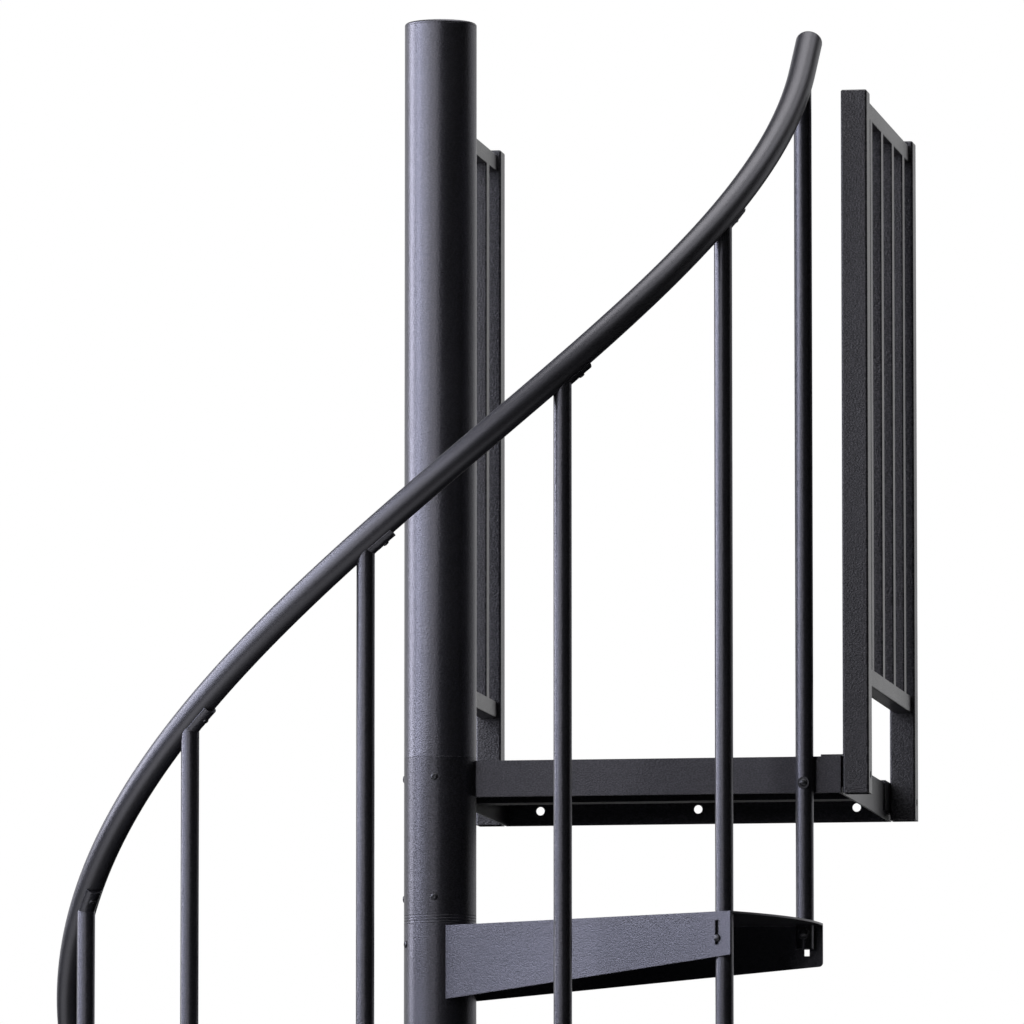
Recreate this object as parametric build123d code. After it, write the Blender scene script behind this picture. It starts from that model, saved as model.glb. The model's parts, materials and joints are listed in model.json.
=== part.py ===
from build123d import *
import math
import os

# Spiral stair with a centre column, sheet steel treads and a square top platform.
# Origin: column axis at floor level. +Z is up, the platform runs along +X and +Y.
# The stair climbs counter-clockwise, seen from above.

# Climb
rise = 233.4                 # height of one step
tread_count = 12             # treads below the platform
tread_angle = 30.0           # turn of one step
top_baluster_angle = -1.73   # place of the baluster at the platform's front edge

# Column
pole_diameter = 88.9
pole_wall = 5.5
sleeve_diameter = 101.6
sleeve_clearance = 0.3       # all round, between the pole and what slides over it
hub_above_tread = 3.5        # how far a hub stands above its own tread
spacer_count = 3
spacer_thickness = 4.0
spacer_groove = 0.8
column_above_deck = 1045.5
cap_thickness = 4.5
cap_edge_radius = 3.5
cap_spigot_length = 25.0

# Base
base_diameter = 300.0
base_thickness = 10.0
base_bolt_ring_diameter = 240.0
base_bolt_hole = 14.0
base_bolt_count = 4
base_edge_chamfer = 1.5

# Treads
tread_radius = 541.0
tread_sheet = 3.0
flange_hub_depth = 103.0
flange_end_depth = 60.0
flange_hub_angle = 55.0      # where a flange meets the hub, from the tread's middle line
front_corner_radius = 1.5    # lower outer corner of the front flange
rear_corner_radius = 6.0
slot_width = 7.6
slot_top = 12.0              # below the tread's surface
slot_bottom = 45.5

# Balusters
baluster_diameter = 25.0
baluster_wall = 2.0
baluster_inset = 23.2        # from the treads' outer edge to a baluster's axis
baluster_clearance = 0.3
baluster_to_flange = 0.5     # gap to the flange that a baluster is bolted to
baluster_below_tread = 36.5  # how far one reaches below the surface of its lower tread
foot_diameter = 60.0
foot_thickness = 6.0

# Handrail
handrail_diameter = 37.4
handrail_wall = 2.5
handrail_height = 963.4      # centre of the tube above the tread at each baluster
handrail_end_run = 57.0      # level length of the straight run past the end balusters
handrail_cap_thickness = 3.0
handrail_cap_edge_radius = 2.4
handrail_cap_spigot = 20.0
saddle_thickness = 5.0
saddle_radius = 12.4         # of its rounded underside, like the tube's own
saddle_width = 23.0
saddle_reach = 25.5          # level length up the rail from the baluster's axis
saddle_seat = 0.2            # gap to the rail's underside

# Platform
platform_left = 2.5          # X of the left face
platform_right = 567.0
platform_front = -3.0        # Y of the front face
platform_back = 567.0
platform_sheet = 3.0
platform_depth = 51.0
landing_hole = 12.5
landing_hole_spacing = 232.0
landing_hole_drop = 29.5     # below the deck
stiffener_width = 40.0
stiffener_depth = 37.0
stiffener_sheet = 3.0

# Platform rails
post_size = 37.0
post_wall = 2.5
post_corner_radius = 3.0
post_height = 938.5          # above the deck
post_bolt_hole = 11.0        # way in for a socket, in the wall away from the platform
post_bolt_drop = 25.0        # below the deck
infill_size = 25.0
infill_corner_radius = 2.0
top_bar_drop = 7.0           # from the posts' tops
bottom_bar_height = 104.0    # above the deck
picket_spacing = 123.6
right_picket_count = 4
left_picket_count = 3
left_rail_start = 86.5       # Y of the front of the left rail
bracket_thickness = 2.5
bracket_setback = 3.0        # of the shelf, from the front of the near post
bracket_leg_setback = 15.0
bracket_foot = 10.0          # above the platform's lower edge
bracket_length = 90.0
bracket_leg = 28.5
bracket_leg_thickness = 3.0

deck_height = rise * (tread_count + 1)
sleeve_radius = sleeve_diameter / 2
bore_radius = pole_diameter / 2 + sleeve_clearance
baluster_radius = baluster_diameter / 2
baluster_circle = tread_radius - baluster_inset
handrail_radius = handrail_diameter / 2
hub_length = rise - spacer_count * spacer_thickness
rail_slope = math.atan(rise / (math.radians(tread_angle) * baluster_circle))

os.makedirs("parts", exist_ok=True)


def save(name, shape):
    shape.label = name
    export_step(shape, "parts/" + name + ".step")


def group(solids):
    """Solids that don't touch, kept together in one node."""
    return Compound(children=list(solids))


def disc(radius, bottom, height):
    return Pos(0, 0, bottom) * Cylinder(radius, height, align=(Align.CENTER, Align.CENTER, Align.MIN))


def ring(outer, inner, bottom, height):
    return disc(outer, bottom, height) - disc(inner, bottom - 1, height + 2)


def block(x0, x1, y0, y1, z0, z1):
    middle = Pos((x0 + x1) / 2, (y0 + y1) / 2, (z0 + z1) / 2)
    return middle * Box(x1 - x0, y1 - y0, z1 - z0)


def polar(radius, angle, height=0.0):
    turn = math.radians(angle)
    return Vector(radius * math.cos(turn), radius * math.sin(turn), height)


def baluster_angle(number):
    """Number 0 stands at the foot of the stair, and the last one at the platform."""
    return top_baluster_angle - tread_angle * (tread_count - number)


# ---------------------------------------------------------------- column and base

def base_plate():
    plate = disc(base_diameter / 2, 0, base_thickness)
    plate = chamfer(plate.edges().group_by(Axis.Z)[-1], base_edge_chamfer)
    for number in range(base_bolt_count):
        place = polar(base_bolt_ring_diameter / 2, 45 + 360 / base_bolt_count * number, -1)
        plate -= Pos(*place) * disc(base_bolt_hole / 2, 0, base_thickness + 2)
    return plate


def center_pole():
    top = deck_height + column_above_deck - cap_thickness
    return ring(pole_diameter / 2, pole_diameter / 2 - pole_wall, base_thickness, top - base_thickness)


def base_ring():
    top = rise + hub_above_tread - hub_length
    return ring(sleeve_radius, bore_radius, base_thickness, top - base_thickness)


def spacer_stack(bottom):
    """Three thin washers, drawn as one ring with a fine groove at each joint and half of one at each end."""
    stack = ring(sleeve_radius, bore_radius, bottom, spacer_count * spacer_thickness)
    for number in range(spacer_count + 1):
        joint = bottom + number * spacer_thickness - spacer_groove / 2
        stack -= ring(sleeve_radius + 1, sleeve_radius - spacer_groove, joint, spacer_groove)
    return stack


def column_sleeve():
    bottom = deck_height + hub_above_tread
    top = deck_height + column_above_deck - cap_thickness
    return ring(sleeve_radius, bore_radius, bottom, top - bottom)


def column_cap():
    bottom = deck_height + column_above_deck - cap_thickness
    cap = disc(sleeve_radius, bottom, cap_thickness)
    cap = fillet(cap.edges().group_by(Axis.Z)[-1], cap_edge_radius)
    spigot_radius = pole_diameter / 2 - pole_wall - sleeve_clearance
    return cap + disc(spigot_radius, bottom - cap_spigot_length, cap_spigot_length)


def hub(surface):
    """The sleeve that a tread or the platform is welded to."""
    return ring(sleeve_radius, bore_radius, surface + hub_above_tread - hub_length, hub_length)


# ---------------------------------------------------------------- treads

def flange_line():
    """Outer face of the left flange in the tread's own frame: its hub point and its direction."""
    start = polar(sleeve_radius, flange_hub_angle)
    to_baluster = polar(baluster_circle, tread_angle / 2) - start
    offset = baluster_radius + baluster_to_flange + tread_sheet
    turn = math.atan2(to_baluster.Y, to_baluster.X) + math.asin(offset / to_baluster.length)
    return start, Vector(math.cos(turn), math.sin(turn), 0)


def flange_length(start, direction, radius):
    """Distance from the hub point to a circle round the column."""
    along = start.dot(direction)
    return -along + math.sqrt(along ** 2 + radius ** 2 - start.length ** 2)


def wedge(inset, radius, depth):
    """Solid wedge between the two flange lines, moved in by inset, under the tread's surface."""
    start, direction = flange_line()
    start = start + Vector(direction.Y, -direction.X, 0) * inset
    end = start + direction * flange_length(start, direction, radius)
    start = start - direction * (start.X / direction.X)
    outline = [
        Line((start.X, -start.Y), (end.X, -end.Y)),
        ThreePointArc((end.X, -end.Y), (radius, 0), (end.X, end.Y)),
        Line((end.X, end.Y), (start.X, start.Y)),
        Line((start.X, start.Y), (start.X, -start.Y)),
    ]
    return extrude(make_face(outline), -depth)


def tread_slot(side):
    """Upright slot through a flange, in line with a baluster."""
    start, direction = flange_line()
    place = start + direction * (polar(baluster_circle, tread_angle / 2) - start).dot(direction)
    across = Vector(-direction.Y, direction.X, 0)
    face = Plane(origin=place, x_dir=direction, z_dir=across)
    slot = Pos(0, (slot_top + slot_bottom) / 2) * Rectangle(slot_width, slot_bottom - slot_top)
    cutter = extrude(face * slot, 2 * tread_sheet, both=True)
    return cutter if side > 0 else mirror(cutter, about=Plane.XZ)


def folded_sheet():
    """Top plate and both flanges, whose lower edges rise towards the outer end."""
    start, direction = flange_line()
    end = start + direction * flange_length(start, direction, tread_radius)
    far = 2 * tread_radius
    sheet = wedge(0, tread_radius, 2 * flange_hub_depth)
    sheet -= Pos(0, 0, -tread_sheet) * wedge(tread_sheet, far, 3 * flange_hub_depth)
    slope = (flange_hub_depth - flange_end_depth) / (end.X - start.X)
    below = Polyline((-far, -flange_hub_depth - slope * (far + start.X)),
                     (far, -flange_hub_depth + slope * (far - start.X)),
                     (far, -2 * far), (-far, -2 * far), close=True)
    sheet -= extrude(Plane.XZ * make_face(below), far, both=True)
    for side, radius in ((-1, front_corner_radius), (1, rear_corner_radius)):
        corner = sheet.edges().filter_by(lambda edge: edge.center().X > end.X - tread_sheet
                                         and side * edge.center().Y > 0
                                         and abs(edge.center().Z + flange_end_depth) < tread_sheet
                                         and edge.length < 2 * tread_sheet)
        sheet = fillet(corner, radius)
    return sheet


def tread():
    body = folded_sheet()
    for side in (-1, 1):
        place = polar(baluster_circle, side * tread_angle / 2)
        body -= Pos(*place) * disc(baluster_radius + baluster_clearance, -2 * tread_sheet, 3 * tread_sheet)
        body -= tread_slot(side)
    body += disc(sleeve_radius, hub_above_tread - hub_length, hub_length)
    return body - disc(bore_radius, -2 * hub_length, 4 * hub_length)


# ---------------------------------------------------------------- handrail and balusters

def rail_point(number):
    place = polar(baluster_circle, baluster_angle(number))
    return Vector(place.X, place.Y, rise * (number + 1) + handrail_height)


def rail_direction(number):
    """Unit direction of the rail at a baluster, up the stair."""
    level = polar(1, baluster_angle(number) + 90)
    return level * math.cos(rail_slope) + Vector(0, 0, math.sin(rail_slope))


def rail_path():
    first, last = rail_point(0), rail_point(tread_count)
    pitch = rise * 360 / tread_angle
    helix = Helix(pitch=pitch, height=rise * tread_count, radius=baluster_circle)
    helix = Pos(0, 0, first.Z) * Rot(0, 0, baluster_angle(0)) * helix
    run = handrail_end_run / math.cos(rail_slope)
    low_end = Line(first - rail_direction(0) * run, first)
    high_end = Line(last, last + rail_direction(tread_count) * run)
    return low_end, helix, high_end


def tube_along(edge, radius):
    start = Plane(origin=edge @ 0, z_dir=edge % 0)
    return sweep(start * Circle(radius), path=edge, is_frenet=True)


def handrail():
    outer = inner = None
    for edge in rail_path():
        skin = tube_along(edge, handrail_radius)
        core = tube_along(edge, handrail_radius - handrail_wall)
        outer = skin if outer is None else outer + skin
        inner = core if inner is None else inner + core
    return outer - inner


def handrail_cap(number, side):
    run = handrail_end_run / math.cos(rail_slope)
    direction = rail_direction(number) * side
    end = Plane(origin=rail_point(number) + direction * run, z_dir=direction)
    low = (Align.CENTER, Align.CENTER, Align.MIN)
    high = (Align.CENTER, Align.CENTER, Align.MAX)
    head = Cylinder(handrail_radius, handrail_cap_thickness, align=low)
    head = fillet(head.edges().group_by(Axis.Z)[-1], handrail_cap_edge_radius)
    spigot_radius = handrail_radius - handrail_wall - sleeve_clearance
    return end * (head + Cylinder(spigot_radius, handrail_cap_spigot, align=high))


def saddle_profile():
    """Round bar under the rail, with its sides taken off, seen along the rail."""
    drop = handrail_radius + saddle_seat + saddle_thickness - saddle_radius
    return Pos(0, drop) * (Circle(saddle_radius) & Rectangle(saddle_width, 3 * saddle_radius))


def rail_stretch(number, back, ahead):
    """The rail's centre line near a baluster, from one level distance to another.

    It is a helix, and a straight run at the last baluster."""
    if number == tread_count:
        middle, direction = rail_point(number), rail_direction(number) / math.cos(rail_slope)
        return Line(middle - direction * back, middle + direction * ahead)
    turn = math.degrees(back / baluster_circle)
    height = (back + ahead) * math.tan(rail_slope)
    helix = Helix(pitch=rise * 360 / tread_angle, height=height, radius=baluster_circle)
    low = rail_point(number).Z - back * math.tan(rail_slope)
    return Pos(0, 0, low) * Rot(0, 0, baluster_angle(number) - turn) * helix


def saddle(number):
    path = rail_stretch(number, baluster_radius, saddle_reach)
    start = path @ 0
    radial = Vector(start.X, start.Y, 0).normalized()
    section = Plane(origin=start, x_dir=radial, z_dir=path % 0) * saddle_profile()
    return sweep(section, path=path, is_frenet=True)


def baluster(number):
    place = polar(baluster_circle, baluster_angle(number))
    top = rail_point(number).Z
    bottom = rise * number - baluster_below_tread if number > 0 else foot_thickness
    tube = Pos(place.X, place.Y, 0) * ring(baluster_radius, baluster_radius - baluster_wall,
                                           bottom, top - bottom)
    path = rail_stretch(number, 2 * baluster_diameter, 2 * baluster_diameter)
    tube += saddle(number)
    tube -= tube_along(path, handrail_radius + saddle_seat)
    if number == 0:
        tube += Pos(place.X, place.Y, 0) * disc(foot_diameter / 2, 0, foot_thickness)
    return tube


# ---------------------------------------------------------------- platform

def platform():
    left, right, front, back = platform_left, platform_right, platform_front, platform_back
    top, low, sheet = deck_height, deck_height - platform_depth, platform_sheet
    pan = block(left, right, front, back, low, top)
    pan -= block(left + sheet, right - sheet, front + sheet, back - sheet, low - 1, top - sheet)
    middle = (left + right) / 2
    for number in (-1, 0, 1):
        hole = Pos(middle + number * landing_hole_spacing, back, top - landing_hole_drop)
        pan -= hole * Rot(90, 0, 0) * Cylinder(landing_hole / 2, 4 * sheet)
    pan -= disc(sleeve_radius - 1, low - 1, platform_depth + 2)
    return pan + hub(deck_height)


def platform_stiffener():
    middle = (platform_front + platform_back) / 2
    x0, x1 = platform_left + platform_sheet, platform_right - platform_sheet
    y0, y1 = middle - stiffener_width / 2, middle + stiffener_width / 2
    top = deck_height - platform_sheet
    low = top - stiffener_depth
    channel = block(x0, x1, y0, y1, low, top)
    return channel - block(x0 - 1, x1 + 1, y0 + stiffener_sheet, y1 - stiffener_sheet,
                           low + stiffener_sheet, top + 1)


def rail_brackets(face, side, front):
    """Angle at each post: a leg between it and the platform, and a shelf on the deck. side is +1 on the right and -1 on the left."""
    outer, inner = face + side * bracket_thickness, face - side * bracket_leg
    low, top = deck_height - platform_depth + bracket_foot, deck_height + bracket_leg_thickness
    last = platform_back - bracket_length
    angles = []
    for leg_start, start in ((front + bracket_leg_setback, front + bracket_setback), (last, last)):
        end = start + bracket_length
        leg = block(min(face, outer), max(face, outer), leg_start, end, low, deck_height)
        angles.append(leg + block(min(outer, inner), max(outer, inner), start, end, deck_height, top))
    return group(angles)


def post(center_x, front, side):
    """Square tube, closed at its top. side is +1 on the right of the platform and -1 on the left."""
    half = post_size / 2
    low, top = deck_height - platform_depth, deck_height + post_height
    outer = block(center_x - half, center_x + half, front, front + post_size, low, top)
    outer = fillet(outer.edges().filter_by(Axis.Z) + outer.edges().group_by(Axis.Z)[-1], post_corner_radius)
    inner = block(center_x - half + post_wall, center_x + half - post_wall, front + post_wall,
                  front + post_size - post_wall, low - 1, top - post_wall)
    hole = Pos(center_x + side * half, front + half, deck_height - post_bolt_drop)
    return outer - inner - hole * Rot(0, 90, 0) * Cylinder(post_bolt_hole / 2, post_size)


def bar(center_x, y0, y1, z0, z1, shrink=0.0):
    """Square tube of the infill, along Y or Z. shrink takes a wall off each long side."""
    half = infill_size / 2 - shrink
    return block(center_x - half, center_x + half, y0, y1, z0, z1)


def rail_panel(center_x, y0, y1, pickets):
    """Top bar, bottom bar and pickets between two posts, as welded square tubes."""
    top = deck_height + post_height - top_bar_drop
    low = deck_height + bottom_bar_height
    middle = (y0 + y1) / 2
    first = middle - (pickets - 1) * picket_spacing / 2
    half, wall = infill_size / 2, baluster_wall
    solid = cavity = None
    for z0 in (low, top - infill_size):
        skin = bar(center_x, y0, y1, z0, z0 + infill_size)
        skin = fillet(skin.edges().filter_by(Axis.Y), infill_corner_radius)
        core = bar(center_x, y0 - 1, y1 + 1, z0 + wall, z0 + infill_size - wall, wall)
        solid = skin if solid is None else solid + skin
        cavity = core if cavity is None else cavity + core
    for number in range(pickets):
        y = first + number * picket_spacing
        skin = bar(center_x, y - half, y + half, low + half, top - half)
        solid += fillet(skin.edges().filter_by(Axis.Z), infill_corner_radius)
        cavity += bar(center_x, y - half + wall, y + half - wall, low + half, top - half, wall)
    return solid - cavity


# ---------------------------------------------------------------- parts

save("base_plate", base_plate())
save("base_ring", base_ring())
save("center_pole", center_pole())
save("spacer_rings", group(spacer_stack(rise * number + hub_above_tread)
                           for number in range(1, tread_count + 1)))
save("column_sleeve", column_sleeve())
save("column_cap", column_cap())

one_tread = tread()
for number in range(1, tread_count + 1):
    middle_angle = baluster_angle(number) - tread_angle / 2
    save(f"tread_{number:02d}", Pos(0, 0, rise * number) * Rot(0, 0, middle_angle) * one_tread)

for number in range(tread_count + 1):
    save(f"baluster_{number + 1:02d}", baluster(number))
save("handrail", handrail())
save("handrail_caps", group([handrail_cap(0, -1), handrail_cap(tread_count, 1)]))

save("platform", platform())
save("platform_stiffener", platform_stiffener())

right_x = platform_right + bracket_thickness + post_size / 2
left_x = platform_left - bracket_thickness - post_size / 2
far_post = platform_back - post_size
sides = (
    ("right", right_x, platform_right, 1, platform_front, right_picket_count),
    ("left", left_x, platform_left, -1, left_rail_start, left_picket_count),
)
for name, center_x, face, side, front, pickets in sides:
    save(name + "_rail_brackets", rail_brackets(face, side, front))
    save(name + "_rail_near_post", post(center_x, front, side))
    save(name + "_rail_far_post", post(center_x, far_post, side))
    save(name + "_rail_panel", rail_panel(center_x, front + post_size, far_post, pickets))
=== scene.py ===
import json
import math

import bpy
import numpy as np
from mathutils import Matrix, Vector


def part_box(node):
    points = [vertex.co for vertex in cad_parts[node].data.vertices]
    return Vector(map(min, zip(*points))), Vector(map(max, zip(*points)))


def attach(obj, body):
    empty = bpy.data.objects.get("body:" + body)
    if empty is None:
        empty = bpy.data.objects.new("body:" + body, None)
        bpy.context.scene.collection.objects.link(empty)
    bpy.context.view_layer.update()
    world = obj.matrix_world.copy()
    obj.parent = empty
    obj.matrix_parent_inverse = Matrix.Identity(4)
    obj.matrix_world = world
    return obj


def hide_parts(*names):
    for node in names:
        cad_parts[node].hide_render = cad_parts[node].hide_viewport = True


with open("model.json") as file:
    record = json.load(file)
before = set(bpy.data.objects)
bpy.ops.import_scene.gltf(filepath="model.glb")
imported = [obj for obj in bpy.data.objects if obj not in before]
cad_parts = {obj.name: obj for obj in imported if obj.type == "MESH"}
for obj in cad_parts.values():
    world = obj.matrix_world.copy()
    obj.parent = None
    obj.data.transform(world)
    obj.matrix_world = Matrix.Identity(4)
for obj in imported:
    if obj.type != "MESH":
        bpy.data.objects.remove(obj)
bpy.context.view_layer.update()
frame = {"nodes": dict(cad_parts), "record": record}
nodes = frame["nodes"]
print("frame loaded:", len(nodes), "nodes")

# The stair in metres and degrees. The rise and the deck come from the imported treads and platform.
stair = {
    "treads": 12,
    "stepAngle": 30.0,
    "lastBalusterAngle": -1.73,
    "balusterCircle": 0.5178,
    "balusterRadius": 0.0125,
    "balusterToFlange": 0.0005,
    "flangeHubAngle": 55.0,
    "sheet": 0.003,
    "hubRadius": 0.0508,
    "hubAboveTread": 0.0035,
    "spacerHeight": 0.012,
}
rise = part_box("tread_02")[1].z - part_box("tread_01")[1].z
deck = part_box("platform")[1].z - stair["hubAboveTread"]
treadNumbers = np.arange(1, stair["treads"] + 1)
balusterNumbers = np.arange(stair["treads"] + 1)
sharpAngle = 35.0       # degrees between two faces, past which their edge shows
nearlyUpright = 0.9     # upward share of a direction


def balusterAngle(number):
    # radians, seen from above; number 0 stands on the floor
    return np.radians(stair["lastBalusterAngle"] - stair["stepAngle"] * (stair["treads"] - number))


def around(radius, angle, height=0.0):
    # point at a radius and an angle round the column, for numbers or whole arrays
    angle, height = np.broadcast_arrays(np.asarray(angle, float), np.asarray(height, float))
    return np.stack([radius * np.cos(angle), radius * np.sin(angle), height], axis=-1)


def meshPiece(name, points, faces, material, slotName):
    # points as an (n, 3) array, faces as lists of point numbers
    mesh = bpy.data.meshes.new(name)
    points = np.asarray(points, float).reshape(-1, 3)
    mesh.from_pydata(points.tolist(), [], [list(face) for face in faces])
    mesh.validate()
    mesh.shade_smooth()
    mesh.set_sharp_from_angle(angle=math.radians(sharpAngle))
    mesh.materials.append(material)
    piece = bpy.data.objects.new(name, mesh)
    bpy.context.scene.collection.objects.link(piece)
    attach(piece, "root")
    return piece


def turned(radii, heights, sides=32, hexagon=()):
    # Surface of revolution: point = (r cos a, r sin a, z) for each row (r, z) and angle a.
    # The first and the last row are single points on the axis. A row named in hexagon is cut by six
    # flats: r becomes the smaller of r and flat distance / cos(angle to the nearest flat's middle).
    radii, heights = np.asarray(radii, float), np.asarray(heights, float)
    angle = np.arange(sides) * 2 * np.pi / sides
    toFlat = (angle + np.pi / 6) % (np.pi / 3) - np.pi / 6
    r = np.repeat(radii[1:-1, None], sides, axis=1)
    for row, flat in dict(hexagon).items():
        r[row - 1] = np.minimum(r[row - 1], flat / np.cos(toFlat))
    z = np.repeat(heights[1:-1, None], sides, axis=1)
    rings = np.stack([r * np.cos(angle), r * np.sin(angle), z], axis=-1).reshape(-1, 3)
    points = np.vstack([[[0, 0, heights[0]]], rings, [[0, 0, heights[-1]]]])
    at = np.arange(sides)
    after = (at + 1) % sides
    faces = [(0, b + 1, a + 1) for a, b in zip(at, after)]
    for row in range(len(radii) - 3):
        low, high = 1 + row * sides, 1 + (row + 1) * sides
        faces += list(zip(low + at, low + after, high + after, high + at))
    top = 1 + (len(radii) - 3) * sides
    faces += [(top + a, top + b, len(points) - 1) for a, b in zip(at, after)]
    return points, faces


def placed(shape, origins, axes):
    # Copies of a shape, its z axis turned to each axis: point = origin + x side + y other + z axis,
    # where side = Z x axis, or X x axis if the axis is nearly upright, and other = axis x side.
    points, faces = shape
    origins = np.asarray(origins, float).reshape(-1, 3)
    axes = np.asarray(axes, float).reshape(-1, 3)
    axes = axes / np.linalg.norm(axes, axis=1, keepdims=True)
    upright = np.abs(axes[:, 2:]) > nearlyUpright
    side = np.cross(np.where(upright, [[1.0, 0, 0]], [[0, 0, 1.0]]), axes)
    side /= np.linalg.norm(side, axis=1, keepdims=True)
    turn = np.stack([side, np.cross(axes, side), axes], axis=1)
    every = np.einsum("pi,cij->cpj", points, turn) + origins[:, None, :]
    step = len(points)
    return every.reshape(-1, 3), [tuple(int(i) + copy * step for i in face)
                                  for copy in range(len(origins)) for face in faces]


def joined(*shapes):
    # several shapes as one: point numbers move up by the number of points in the shapes before
    points, faces, start = [], [], 0
    for somePoints, someFaces in shapes:
        points.append(somePoints)
        faces += [tuple(int(i) + start for i in face) for face in someFaces]
        start += len(somePoints)
    return np.vstack(points), faces


class Value:
    # one output of a node, with arithmetic that adds Math nodes

    def __init__(self, tree, socket=None):
        self.tree = tree
        self.socket = socket

    def node(self, kind, settings=(), sockets=(), output=0):
        made = self.tree.nodes.new(kind)
        for name, value in dict(settings).items():
            setattr(made, name, value)
        for name, value in dict(sockets).items():
            if isinstance(value, Value):
                self.tree.links.new(value.socket, made.inputs[name])
            else:
                made.inputs[name].default_value = value
        return Value(self.tree, made.outputs[output]) if made.outputs else None

    def math(self, operation, *values):
        return self.node("ShaderNodeMath", {"operation": operation}, dict(enumerate(values)))

    def __add__(self, other):
        return self.math("ADD", self, other)

    def __sub__(self, other):
        return self.math("SUBTRACT", self, other)

    def __rsub__(self, other):
        return self.math("SUBTRACT", other, self)

    def __mul__(self, other):
        return self.math("MULTIPLY", self, other)

    __radd__, __rmul__ = __add__, __mul__

    def between(self, low, high):
        # 0 at low, 1 at high, smooth between
        return self.node("ShaderNodeMapRange", {"interpolation_type": "SMOOTHSTEP"},
                         {"Value": self, "From Min": low, "From Max": high})


def colorMix(factor, first, second):
    # the Mix node's colour sockets are numbers 6 and 7, and its colour output is number 2
    return factor.node("ShaderNodeMix", {"data_type": "RGBA"},
                       {"Factor": factor, 6: first, 7: second}, output=2)


def noise(place, scale, detail, roughness):
    return place.node("ShaderNodeTexNoise", sockets={
        "Vector": place, "Scale": scale, "Detail": detail, "Roughness": roughness})


coats = {
    # Fine-textured powder coat: colour, a darker colour painted into the dips of the grain as painted
    # shade, metallic, roughness, size of the grain, depth, and size of the orange peel, in metres. top is
    # added to the roughness of faces that are walked on.
    "column": {"color": (0.118, 0.117, 0.134), "dipShadeColor": (0.098, 0.097, 0.112), "metallic": 0.85,
               "roughness": 0.31, "grain": 0.003, "depth": 0.00045, "orange": 0.011},
    # painted shade: the treads and the platform take darker copies of the column's coat, standing in for
    # the weaker light that falls on them
    "treads": {"color": (0.107, 0.106, 0.123), "dipShadeColor": (0.089, 0.088, 0.101), "metallic": 0.85,
               "roughness": 0.34, "grain": 0.0029, "depth": 0.00034, "orange": 0.01, "top": 0.30},
    "balusters": {"color": (0.115, 0.114, 0.131), "dipShadeColor": (0.096, 0.095, 0.109), "metallic": 0.85,
                  "roughness": 0.32, "grain": 0.003, "depth": 0.00048, "orange": 0.01},
    "platform": {"color": (0.1, 0.099, 0.113), "dipShadeColor": (0.070, 0.069, 0.079), "metallic": 0.85,
                 "roughness": 0.34, "grain": 0.0029, "depth": 0.00036, "orange": 0.012, "top": 0.30},
    "platform_rails": {"color": (0.11, 0.109, 0.12), "dipShadeColor": (0.07, 0.069, 0.076), "metallic": 0.85,
                       "roughness": 0.33, "grain": 0.0029, "depth": 0.0008, "orange": 0.012},
    "base": {"color": (0.11, 0.109, 0.124), "dipShadeColor": (0.091, 0.09, 0.103), "metallic": 0.85,
             "roughness": 0.34, "grain": 0.003, "depth": 0.00045, "orange": 0.011},
    # the handrail's coat is smoother
    "handrail": {"color": (0.118, 0.117, 0.131), "dipShadeColor": (0.106, 0.105, 0.118), "metallic": 0.85,
                 "roughness": 0.4, "grain": 0.0026, "depth": 0.00007, "orange": 0.016},
    "screws": {"color": (0.075, 0.075, 0.082), "dipShadeColor": (0.066, 0.066, 0.072), "metallic": 0.9,
               "roughness": 0.36, "grain": 0.0018, "depth": 0.00005, "orange": 0.008},
}
coats["rail_caps"] = dict(coats["handrail"])
# how a coat varies over its surface, the same on every part
spray = {
    "upwardScale": 1.6,           # the sprayed grain is this much finer upwards than sideways
    "grainNoise": (2.0, 0.55),    # detail and roughness
    "orangeNoise": (1.0, 0.5),
    "grainShare": 0.85,           # of the height; the rest is orange peel
    # heights over which the painted shade in the dips of the grain fades in
    "dipShadeHeights": (0.62, 0.40),   # from the coat's colour to that of its dips
    "patches": 9.0,               # scale of the dusty patches
    "patchNoise": (3.0, 0.6),
    "patchRange": (0.45, 0.75),
    "patchAmount": 0.12,
    "patchLighter": 1.25,
    "patchRoughness": 0.10,
    "grainRoughness": 0.08,
    "walkedOn": (0.80, 0.97),     # upward share of the direction that a face looks in
    "edgeRadius": 0.0010,         # metres, over which a sharp edge catches the light
    "edgeSamples": 4,
}


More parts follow.
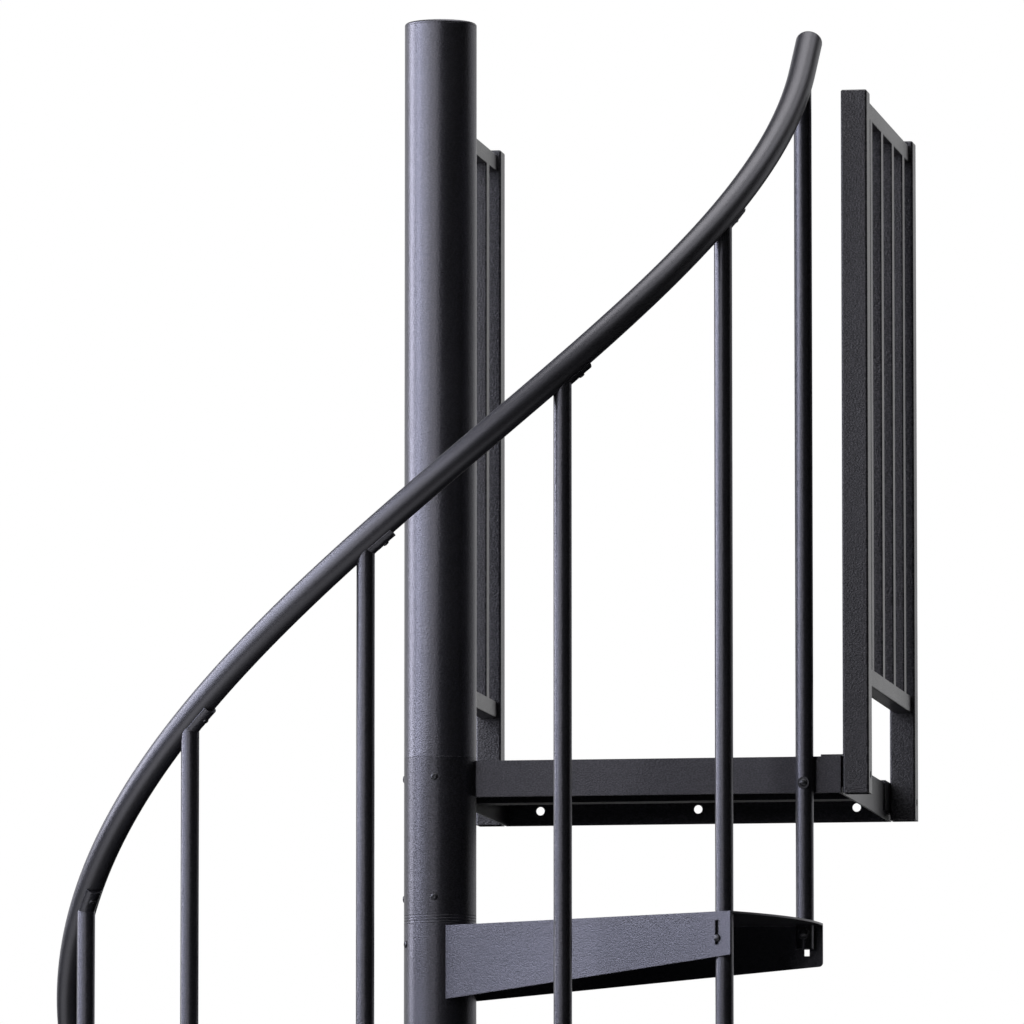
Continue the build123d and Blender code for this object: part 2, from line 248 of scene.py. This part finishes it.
def coat(name):
    look = coats[name]
    material = bpy.data.materials.new(name + "Coat")
    material.use_nodes = True
    tree = material.node_tree
    tree.nodes.clear()
    start = Value(tree)
    place = start.node("ShaderNodeTexCoord", output="Object")
    stretched = start.node("ShaderNodeMapping", sockets={
        "Vector": place, "Scale": (1.0, 1.0, spray["upwardScale"])})
    grain = noise(stretched, 1 / look["grain"], *spray["grainNoise"])
    orange = noise(stretched, 1 / look["orange"], *spray["orangeNoise"])
    cloud = noise(place, spray["patches"], *spray["patchNoise"])
    height = grain * spray["grainShare"] + orange * (1 - spray["grainShare"])
    edges = start.node("ShaderNodeBevel", {"samples": spray["edgeSamples"]},
                       {"Radius": spray["edgeRadius"]})
    bump = start.node("ShaderNodeBump", sockets={
        "Strength": 1.0, "Distance": look["depth"], "Height": height, "Normal": edges})
    # painted shade: the dips of the grain take a darker colour, standing in for the shade in its hollows
    dipShadeMask = height.between(*spray["dipShadeHeights"])
    color = colorMix(dipShadeMask, (*look["color"], 1), (*look["dipShadeColor"], 1))
    dusty = cloud.between(*spray["patchRange"]) * spray["patchAmount"]
    lighter = (min(1.0, channel * spray["patchLighter"]) for channel in look["color"])
    color = colorMix(dusty, color, (*lighter, 1))
    facing = start.node("ShaderNodeTexCoord", output="Normal")
    upward = start.node("ShaderNodeSeparateXYZ", sockets={"Vector": facing}, output="Z")
    roughness = (look["roughness"] + (cloud - 0.5) * spray["patchRoughness"]
                 + (grain - 0.5) * spray["grainRoughness"])
    roughness = roughness + upward.between(*spray["walkedOn"]) * look.get("top", 0.0)
    shader = start.node("ShaderNodeBsdfPrincipled", sockets={
        "Base Color": color, "Metallic": look["metallic"], "Roughness": roughness, "Normal": bump})
    start.node("ShaderNodeOutputMaterial", sockets={"Surface": shader})
    return material


finish = {name: coat(name) for name in coats}
slotOf = {entry["node"]: entry["material_slot"] for entry in frame["record"]["subparts"]}
for name, piece in nodes.items():
    piece.data.materials.clear()
    piece.data.materials.append(finish[slotOf[name]])
print("finishes on all nodes")


handrail = {
    "radius": 0.0187,
    "wall": 0.0025,
    "height": 0.9634,     # centre above the tread at each baluster
    "endRun": 0.057,      # level length of the straight ends
    "sides": 56,
    "stepDegrees": 1.5,
}
railRun = stair["balusterCircle"] * math.radians(stair["stepAngle"])
railSlope = math.atan2(rise, railRun)


def railFrames(level):
    # Centre, tangent and outward direction at a level distance from the first baluster:
    # a helix between the end balusters, and its end tangents past them.
    total = railRun * stair["treads"]
    onHelix = np.clip(level, 0, total)
    angle = balusterAngle(0) + onHelix / stair["balusterCircle"]
    height = rise + handrail["height"] + level * math.tan(railSlope)
    outward = around(1.0, angle)
    along = np.stack([-outward[..., 1], outward[..., 0], 0 * angle], axis=-1)
    center = stair["balusterCircle"] * outward + (level - onHelix)[..., None] * along
    center[..., 2] = height
    tangent = along * math.cos(railSlope) + np.array([0, 0, math.sin(railSlope)])
    return center, tangent, outward


def makeHandrail():
    # A ring carried along the rail and back inside: point = centre + r (outward cos a + normal sin a),
    # normal = outward x tangent
    total = railRun * stair["treads"]
    helixSteps = round(stair["treads"] * stair["stepAngle"] / handrail["stepDegrees"])
    level = np.concatenate([[-handrail["endRun"]], np.linspace(0, total, helixSteps + 1),
                            [total + handrail["endRun"]]])
    center, tangent, outward = railFrames(level)
    normal = np.cross(outward, tangent)
    angle = np.arange(handrail["sides"]) * 2 * np.pi / handrail["sides"]
    ring = outward[:, None] * np.cos(angle)[:, None] + normal[:, None] * np.sin(angle)[:, None]
    outer = center[:, None] + ring * handrail["radius"]
    inner = center[::-1, None] + ring[::-1] * (handrail["radius"] - handrail["wall"])
    grid = np.concatenate([outer, inner])
    rows, columns = grid.shape[:2]
    number = np.arange(rows * columns).reshape(rows, columns)
    below, right = np.roll(number, -1, axis=0), np.roll(number, -1, axis=1)
    faces = np.stack([number, right, np.roll(below, -1, axis=1), below], axis=-1).reshape(-1, 4)
    piece = meshPiece("handrailTube", grid, faces.tolist(), finish["handrail"], "handrail")
    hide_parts("handrail")


makeHandrail()
print("handrail made")


bolts = {
    "headRadius": 0.0052, "headHeight": 0.0034, "headRim": 0.0007, "headRings": 7,
    "washerRadius": 0.0086, "washerHeight": 0.0012,
    "washerChamfer": 0.25,     # share of its height
    "nutFlat": 0.0065, "nutHeight": 0.0052, "nutSides": 36,
    "nutChamfer": (0.98, 0.12),     # radius at the top and depth, as shares of the flat distance
    "studRadius": 0.0039, "studOut": 0.0022,
    "studChamfer": (0.8, 0.75),     # share of its radius at the end, and of studOut where it starts
    "plugHeight": 0.0006,      # flat end of a front bolt, out of the baluster's far side
    "frontDrop": 0.0366,       # below the tread, through the slot of its front flange
    "rearDrop": 0.0145,        # below the tread, at its rear flange
    "platformDrop": 0.0385,    # below the deck
    "postDrop": 0.025,         # below the deck, inside each post
    "postWall": 0.0025,
}
# turn is in degrees from the middle of the tread, platformMiddle is where the platform's hub takes it
# from, and the last two are distances from the ends of each hub
hubScrews = {"radius": 0.0050, "height": 0.0024, "rim": 0.0004, "socketFlat": 0.0018,
             "socketDepth": 0.0014, "turn": 135.0, "platformMiddle": 45.0,
             "fromTop": 0.0285, "fromBottom": 0.0244}
# upRail is the distance up the rail from the baluster, and seat the one below the rail's surface
saddleScrews = {"radius": 0.0042, "height": 0.0018, "rim": 0.0006, "socketFlat": 0.0015,
                "socketDepth": 0.0011, "upRail": 0.0125, "seat": 0.0052}
sink = 0.0006              # heads and washers start this far inside what they sit on
hexagonCorner = 1.1547     # distance of a hexagon's corners over that of its flats
# radii where the crown begins and where the socket does, as shares of the socket's flat distance
socket = {"crown": 1.35, "mouth": 1.2, "rings": 6}


def domeHead():
    # rim cylinder, then a quarter ellipse up to the pole: r = radius cos t, z = rim + (height - rim) sin t
    radius, height, rim = bolts["headRadius"], bolts["headHeight"], bolts["headRim"]
    t = np.linspace(0, np.pi / 2, bolts["headRings"])
    radii = np.concatenate([[0, radius], radius * np.cos(t)[:-1], [0]])
    heights = np.concatenate([[-sink, -sink], rim + (height - rim) * np.sin(t)[:-1], [height]])
    return turned(radii, heights)


def socketHead(screw):
    # the same ellipse up to its crown, with a hexagon socket sunk in it
    radius, height, rim, flat = (screw[size] for size in ("radius", "height", "rim", "socketFlat"))
    stop = math.acos(flat * socket["crown"] / radius)
    t = np.linspace(0, stop, socket["rings"])
    crown, floor = rim + (height - rim) * math.sin(stop), height - screw["socketDepth"]
    mouth = flat * socket["mouth"]
    radii = np.concatenate([[0, radius], radius * np.cos(t), [mouth, mouth, 0]])
    heights = np.concatenate([[-sink, -sink], rim + (height - rim) * np.sin(t), [crown, floor, floor]])
    last = len(radii) - 2
    return turned(radii, heights, hexagon={last - 1: flat, last: flat})


def washer(radius, height):
    edge = height * bolts["washerChamfer"]
    return turned([0, radius, radius, radius - edge, 0], [-sink, -sink, height - edge, height, height])


def nut():
    # chamfered hexagon with the chamfered end of the stud standing out of it
    flat, height = bolts["nutFlat"], bolts["nutHeight"]
    stud, out = bolts["studRadius"], bolts["studOut"]
    corner = flat * hexagonCorner
    top, chamfer = (flat * share for share in bolts["nutChamfer"])
    tip, start = bolts["studChamfer"]
    radii = [0, corner, corner, top, stud, stud, stud * tip, 0]
    heights = [-sink, -sink, height - chamfer, height, height, height + out * start, height + out,
               height + out]
    return turned(radii, heights, sides=bolts["nutSides"], hexagon={1: flat, 2: flat})


def onWasher(shape):
    points, faces = shape
    return joined(washer(bolts["washerRadius"], bolts["washerHeight"]),
                  (points + np.array([0, 0, bolts["washerHeight"]]), faces))


def flangeOut(side):
    # angle of a flange's outward direction in the tread's own frame; side is +1 on the left
    hub = around(stair["hubRadius"], math.radians(stair["flangeHubAngle"]))
    toBaluster = around(stair["balusterCircle"], math.radians(stair["stepAngle"] / 2)) - hub
    offset = stair["balusterRadius"] + stair["balusterToFlange"] + stair["sheet"]
    line = math.atan2(toBaluster[1], toBaluster[0]) + math.asin(offset / np.linalg.norm(toBaluster))
    return side * (line + math.pi / 2), offset


plainHead = domeHead()
headWithWasher = onWasher(plainHead)
nutWithWasher = onWasher(nut())
plug = washer(bolts["headRadius"], bolts["plugHeight"])


def makeTreadBolts():
    # front flange: head outside, flat end inside the tread; rear flange: head inside, nut outside
    middle = balusterAngle(treadNumbers) - math.radians(stair["stepAngle"] / 2)
    for name, side, drop, outside, inside in (
            ("frontBolts", -1, bolts["frontDrop"], plainHead, plug),
            ("rearBolts", 1, bolts["rearDrop"], nutWithWasher, headWithWasher)):
        turn, offset = flangeOut(side)
        out = around(1.0, middle + turn)
        axis = around(stair["balusterCircle"], middle + side * math.radians(stair["stepAngle"] / 2),
                      rise * treadNumbers - drop)
        shape = joined(placed(outside, axis + out * offset, out),
                       placed(inside, axis - out * stair["balusterRadius"], -out))
        meshPiece(name, *shape, finish["screws"], "treads")


def makeHubScrews():
    # two heights on two sides of every hub, turned away from the tread
    middle = balusterAngle(treadNumbers) - math.radians(stair["stepAngle"] / 2)
    middle = np.append(middle, math.radians(hubScrews["platformMiddle"]))
    surface = rise * np.append(treadNumbers, stair["treads"] + 1)
    top = surface + stair["hubAboveTread"] - hubScrews["fromTop"]
    low = surface + stair["hubAboveTread"] - (rise - stair["spacerHeight"]) + hubScrews["fromBottom"]
    turn = math.radians(hubScrews["turn"])
    origins = np.concatenate([around(stair["hubRadius"], middle + side * turn, height)
                              for side in (-1, 1) for height in (top, low)])
    meshPiece("hubScrews", *placed(socketHead(hubScrews), origins, origins * [1, 1, 0]),
              finish["screws"], "column")


def makeSaddleScrews():
    # on the underside of each saddle, square to the rail
    center, tangent, outward = railFrames(balusterNumbers * railRun + saddleScrews["upRail"])
    down = np.cross(tangent, outward)
    down *= -np.sign(down[:, 2:])
    origins = center + down * (handrail["radius"] + saddleScrews["seat"])
    meshPiece("saddleScrews", *placed(socketHead(saddleScrews), origins, down),
              finish["screws"], "handrail")


def makePlatformBolts():
    # the last baluster's bolt, and one inside each post, seen through the hole in its outer wall
    last = around(stair["balusterCircle"], balusterAngle(stair["treads"]), deck - bolts["platformDrop"])
    front = np.array([0, -1.0, 0])
    meshPiece("platformBolt", *placed(headWithWasher, last + front * stair["balusterRadius"], front),
              finish["screws"], "platform")
    origins, axes = [], []
    for side, name in ((1, "right"), (-1, "left")):
        for end in ("near", "far"):
            low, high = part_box(f"{name}_rail_{end}_post")
            wall = (low.x if side > 0 else high.x) + side * bolts["postWall"]
            origins.append((wall, (low.y + high.y) / 2, deck - bolts["postDrop"]))
            axes.append((side, 0, 0))
    meshPiece("postBolts", *placed(nutWithWasher, origins, axes), finish["screws"], "platform_rails")


makeTreadBolts()
makeHubScrews()
makeSaddleScrews()
makePlatformBolts()
print("bolts and screws made")


studio = {
    "cameraPlace": (2.4138, -14.3165, 1.8886),
    "cameraTurn": 9.173,        # degrees, to the left of +Y
    "cameraPitch": 5.889,
    "lens": 364.62,
    "sensor": 36.0,
    "farthest": 200.0,          # metres that the camera sees
    "aim": (0.0, 0.0, 3.0),
    "floorSize": 120.0,
    "floorColor": (0.80, 0.80, 0.80),
    "floorGlow": 0.4,           # share of white under the stair
    "shadowReach": (1.5, 5.0),  # metres over which it becomes all of it
    "fill": 0.004,              # strength of the world on the object
}
# Bright places that glossy rays see. direction is degrees to the right of the camera as seen from the
# stair, elevation is in degrees with soft ones at both ends, and reach is in cosines of the angle
# away from direction.
cards = {
    "backdrop": {"direction": 180.0, "elevation": (-5.0, 25.0), "soft": 5.0,
                 "reach": (0.12, 0.50), "strength": 0.66},
    "ceilingRight": {"direction": 90.0, "elevation": (45.0, 65.0), "soft": 6.0,
                     "reach": (0.05, 0.30), "strength": 1.5},
    "floorLeft": {"direction": -90.0, "elevation": (-65.0, -30.0), "soft": 6.0,
                  "reach": (0.1, 0.4), "strength": 0.62},
    "floorFront": {"direction": 0.0, "elevation": (-65.0, -30.0), "soft": 6.0,
                   "reach": (0.1, 0.4), "strength": 0.57},
}
# power in watts
lamps = {
    "backStrip": {"direction": -105.0, "distance": 4.0, "height": 4.6, "width": 1.3, "tall": 3.8,
                 "power": 124.0, "color": (0.95, 0.96, 1.08)},
    "sideStrip": {"direction": -76.0, "distance": 4.0, "height": 4.6, "width": 1.0, "tall": 3.8,
                 "power": 77.0, "color": (0.92, 0.95, 1.12)},
    "keySoftbox": {"direction": -52.0, "distance": 4.0, "height": 4.6, "width": 1.9, "tall": 3.8,
                  "power": 62.0, "color": (0.95, 0.97, 1.07)},
    "frontSoftbox": {"direction": -22.0, "distance": 4.0, "height": 4.6, "width": 1.9, "tall": 3.8,
                    "power": 32.0, "color": (1.0, 0.99, 1.02)},
    "topSoftbox": {"direction": 0.0, "distance": 0.05, "height": 7.5, "width": 3.0, "tall": 3.0,
                  "power": 81.0, "color": (1.0, 0.99, 0.97)},
}


def levelDirection(degrees):
    # x and y of the direction that is this far to the right of the camera, as seen from the stair
    angle = math.radians(-90 + studio["cameraTurn"] + degrees)
    return math.cos(angle), math.sin(angle)


def makeFloor():
    # pale paint that takes the shadow, mixed into plain white with the distance from the stair
    mesh = bpy.data.meshes.new("floor")
    half = studio["floorSize"] / 2
    corners = [(-half, -half, 0), (half, -half, 0), (half, half, 0), (-half, half, 0)]
    mesh.from_pydata(corners, [], [(0, 1, 2, 3)])
    floor = bpy.data.objects.new("floor", mesh)
    bpy.context.scene.collection.objects.link(floor)
    floor.visible_diffuse = floor.visible_glossy = False
    material = bpy.data.materials.new("floorPaint")
    material.use_nodes = True
    material.node_tree.nodes.clear()
    start = Value(material.node_tree)
    place = start.node("ShaderNodeTexCoord", output="Object")
    away = start.node("ShaderNodeVectorMath", {"operation": "LENGTH"}, {0: place}, output="Value")
    paint = start.node("ShaderNodeBsdfDiffuse", sockets={"Color": (*studio["floorColor"], 1)})
    white = start.node("ShaderNodeEmission", sockets={"Strength": 1.0})
    glow = studio["floorGlow"]
    plain = away.between(*studio["shadowReach"]) * (1 - glow) + glow
    shader = start.node("ShaderNodeMixShader", sockets={0: plain, 1: paint, 2: white})
    start.node("ShaderNodeOutputMaterial", sockets={"Surface": shader})
    mesh.materials.append(material)


def makeWorld():
    # White to the camera. Glossy rays see the sum of the cards, each a product of smooth steps in
    # elevation and in direction, and the fill is all that lights the object besides the lamps.
    world = bpy.data.worlds.new("studio")
    world.use_nodes = True
    world.node_tree.nodes.clear()
    start = Value(world.node_tree)
    direction = start.node("ShaderNodeTexCoord", output="Generated")
    up = start.node("ShaderNodeSeparateXYZ", sockets={"Vector": direction}, output="Z")
    camera, glossy, through = (start.node("ShaderNodeLightPath", output=name) for name in
                               ("Is Camera Ray", "Is Glossy Ray", "Is Transmission Ray"))
    seen = camera.math("MAXIMUM", camera, through)
    dim = studio["fill"]
    for card in cards.values():
        (low, high), soft = card["elevation"], card["soft"]
        lowest, lowFull, highFull, highest = (math.sin(math.radians(angle)) for angle in
                                              (low - soft, low + soft, high - soft, high + soft))
        toward = start.node("ShaderNodeVectorMath", {"operation": "DOT_PRODUCT"},
                            {0: direction, 1: (*levelDirection(card["direction"]), 0)}, output="Value")
        patch = (up.between(lowest, lowFull) * up.between(highest, highFull)
                 * toward.between(*card["reach"]))
        dim = dim + glossy * patch * card["strength"]
    strength = seen + (1 - seen) * dim
    background = start.node("ShaderNodeBackground", sockets={
        "Color": (1, 1, 1, 1), "Strength": strength})
    start.node("ShaderNodeOutputWorld", sockets={"Surface": background})
    bpy.context.scene.world = world


def makeLamp(name, look):
    light = bpy.data.lights.new(name, "AREA")
    light.shape = "RECTANGLE"
    light.size, light.size_y = look["width"], look["tall"]
    light.energy, light.color = look["power"], look["color"]
    lamp = bpy.data.objects.new(name, light)
    bpy.context.scene.collection.objects.link(lamp)
    x, y = levelDirection(look["direction"])
    place = Vector((look["distance"] * x, look["distance"] * y, look["height"]))
    lamp.location = place
    aim = Vector(studio["aim"])
    lamp.rotation_euler = (aim - place).to_track_quat("-Z", "Y").to_euler()
    lamp.visible_camera = False


def makeCamera():
    camera = bpy.data.cameras.new("camera")
    camera.sensor_width = studio["sensor"]
    camera.lens = studio["lens"]
    camera.clip_end = studio["farthest"]
    holder = bpy.data.objects.new("camera", camera)
    bpy.context.scene.collection.objects.link(holder)
    holder.location = studio["cameraPlace"]
    pitch, turn = math.radians(90 + studio["cameraPitch"]), math.radians(studio["cameraTurn"])
    holder.rotation_euler = (pitch, 0, turn)
    bpy.context.scene.camera = holder


makeFloor()
makeWorld()
for name, look in lamps.items():
    makeLamp(name, look)
makeCamera()
bpy.context.scene.view_settings.view_transform = "Standard"
print("studio made")
